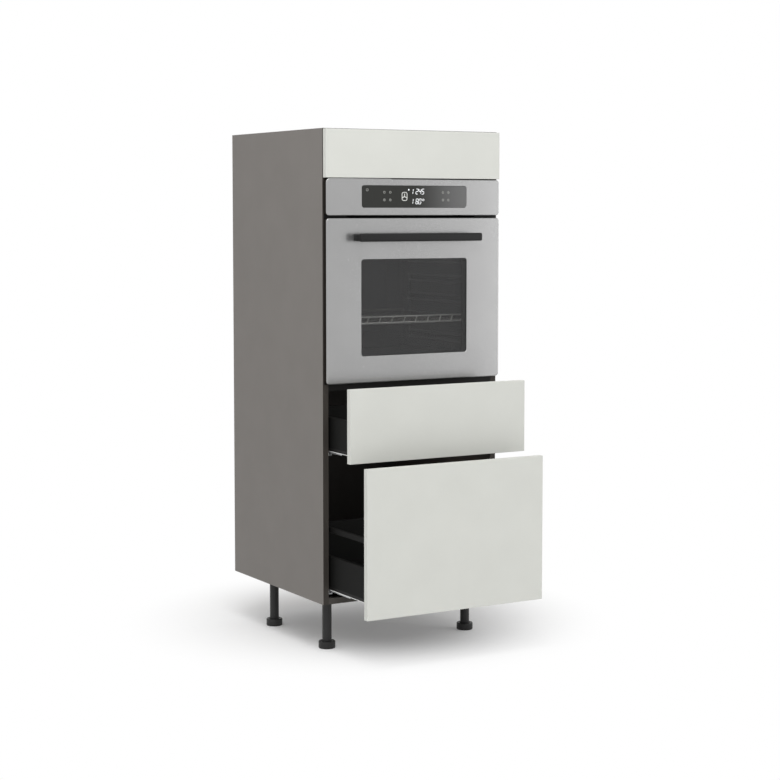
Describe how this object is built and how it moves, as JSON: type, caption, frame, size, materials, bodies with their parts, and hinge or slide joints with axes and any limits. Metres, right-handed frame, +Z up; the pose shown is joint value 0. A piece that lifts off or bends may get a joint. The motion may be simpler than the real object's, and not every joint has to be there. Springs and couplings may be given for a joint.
{
  "type": "tall oven housing unit",
  "caption": "Tall kitchen cabinet on adjustable feet that houses a built-in oven, with pull-out drawers below it and a fixed fascia above.",
  "frame": {"origin": "on the floor, under the middle of the unit's outline as it stands with both drawers partly open", "axes": "+Z up, the fronts face -Y, +X to the right of someone who faces the fronts"},
  "size_m": [0.6, 0.858, 1.54],
  "materials": {
    "side_board": "warm grey laminate, matt",
    "carcass_board": "warm grey laminate, matt",
    "back_board": "grey laminate, matt",
    "front_board": "off-white lacquer, matt",
    "zinc": "zinc-plated steel sheet",
    "drawer_steel": "anthracite powder coat",
    "leg_plastic": "black, fine grain",
    "oven_silver": "satin silver",
    "oven_black": "black enamel",
    "handle": "black, matt",
    "dark_glass": "tinted, gloss",
    "window_glass": "tinted, gloss",
    "circuit_board": "resin board",
    "terminal_plastic": "light grey",
    "enamel": "dark enamel, gloss",
    "wool": "mineral wool",
    "seal": "matt",
    "chrome_wire": "polished",
    "element": "heat-tinted",
    "lamp_glass": "frosted"
  },
  "bodies": {
    "housing": {"back_panel": "back_board", "bottom_panel": "carcass_board", "cabinet_rails": "zinc", "cam_fittings": "zinc", "control_board": "circuit_board", "control_fascia": "oven_silver", "display_glass": "dark_glass", "door_seal": "seal", "fan_cover": "enamel", "fan_motor": "zinc", "fascia_brackets": "zinc", "grill_element": "element", "hinge_arms": "zinc", "leg_sockets": "leg_plastic", "leg_tubes": "leg_plastic", "niche_rail": "carcass_board", "oven_casing": "zinc", "oven_cavity": "enamel", "oven_front_frame": "oven_black", "oven_insulation": "wool", "oven_lamp": "lamp_glass", "oven_rear_cover": "zinc", "oven_shelf": "carcass_board", "oven_top_cover": "zinc", "rear_rail": "carcass_board", "ring_element": "element", "shelf_ladders": "chrome_wire", "side_panel_left": "side_board", "side_panel_right": "side_board", "terminal_box": "terminal_plastic", "top_fascia": "front_board", "top_panel": "carcass_board", "wire_shelf": "chrome_wire"},
    "upper_drawer": {"upper_front": "front_board", "upper_drawer_sides": "drawer_steel", "upper_base": "back_board", "upper_back": "back_board", "upper_front_brackets": "drawer_steel", "upper_drawer_rails": "zinc"},
    "lower_drawer": {"lower_front": "front_board", "lower_drawer_sides": "drawer_steel", "lower_base": "back_board", "lower_back": "back_board", "lower_front_brackets": "drawer_steel", "lower_drawer_rails": "zinc", "lower_gallery_rails": "drawer_steel"},
    "upper_middle": {"upper_middle_rails": "zinc"},
    "lower_middle": {"lower_middle_rails": "zinc"},
    "oven_door": {"door_panel": "oven_silver", "door_window": "window_glass", "door_inner_glass": "window_glass", "door_carrier": "oven_black", "handle_bar": "handle", "handle_posts": "handle", "hinge_bodies": "zinc"},
    "foot_fl": {"foot_front_left": "leg_plastic"},
    "foot_fr": {"foot_front_right": "leg_plastic"},
    "foot_rl": {"foot_rear_left": "leg_plastic"},
    "foot_rr": {"foot_rear_right": "leg_plastic"},
    "fan": {"fan_impeller": "element"}
  },
  "joints": [
    {"name": "lower_slide", "type": "slide", "parent": "housing", "child": "lower_drawer", "axis": [0, -1, 0], "range_m": [-0.238, 0.232]},
    {"name": "lower_middle_slide", "type": "slide", "parent": "housing", "child": "lower_middle", "axis": [0, -1, 0], "range_m": [-0.119, 0.116]},
    {"name": "upper_slide", "type": "slide", "parent": "housing", "child": "upper_drawer", "axis": [0, -1, 0], "range_m": [-0.141, 0.329]},
    {"name": "upper_middle_slide", "type": "slide", "parent": "housing", "child": "upper_middle", "axis": [0, -1, 0], "range_m": [-0.0705, 0.1645]},
    {"name": "oven_door_hinge", "type": "hinge", "parent": "housing", "child": "oven_door", "pos_m": [0, -0.184, 0.808], "axis": [1, 0, 0], "range_deg": [0, 90], "stiffness_Nm_per_rad": 6, "springref_deg": -17.19},
    {"name": "oven_fan_spin", "type": "hinge", "parent": "housing", "child": "fan", "pos_m": [0, 0.25, 1.042], "axis": [0, 1, 0], "continuous": true},
    {"name": "foot_fl_height", "type": "slide", "parent": "housing", "child": "foot_fl", "axis": [0, 0, -1], "range_m": [0, 0.02]},
    {"name": "foot_fr_height", "type": "slide", "parent": "housing", "child": "foot_fr", "axis": [0, 0, -1], "range_m": [0, 0.02]},
    {"name": "foot_rl_height", "type": "slide", "parent": "housing", "child": "foot_rl", "axis": [0, 0, -1], "range_m": [0, 0.02]},
    {"name": "foot_rr_height", "type": "slide", "parent": "housing", "child": "foot_rr", "axis": [0, 0, -1], "range_m": [0, 0.02]}
  ],
  "couplings": [
    {"joint": "lower_middle_slide", "follows": "lower_slide", "ratio": 0.5},
    {"joint": "upper_middle_slide", "follows": "upper_slide", "ratio": 0.5}
  ]
}
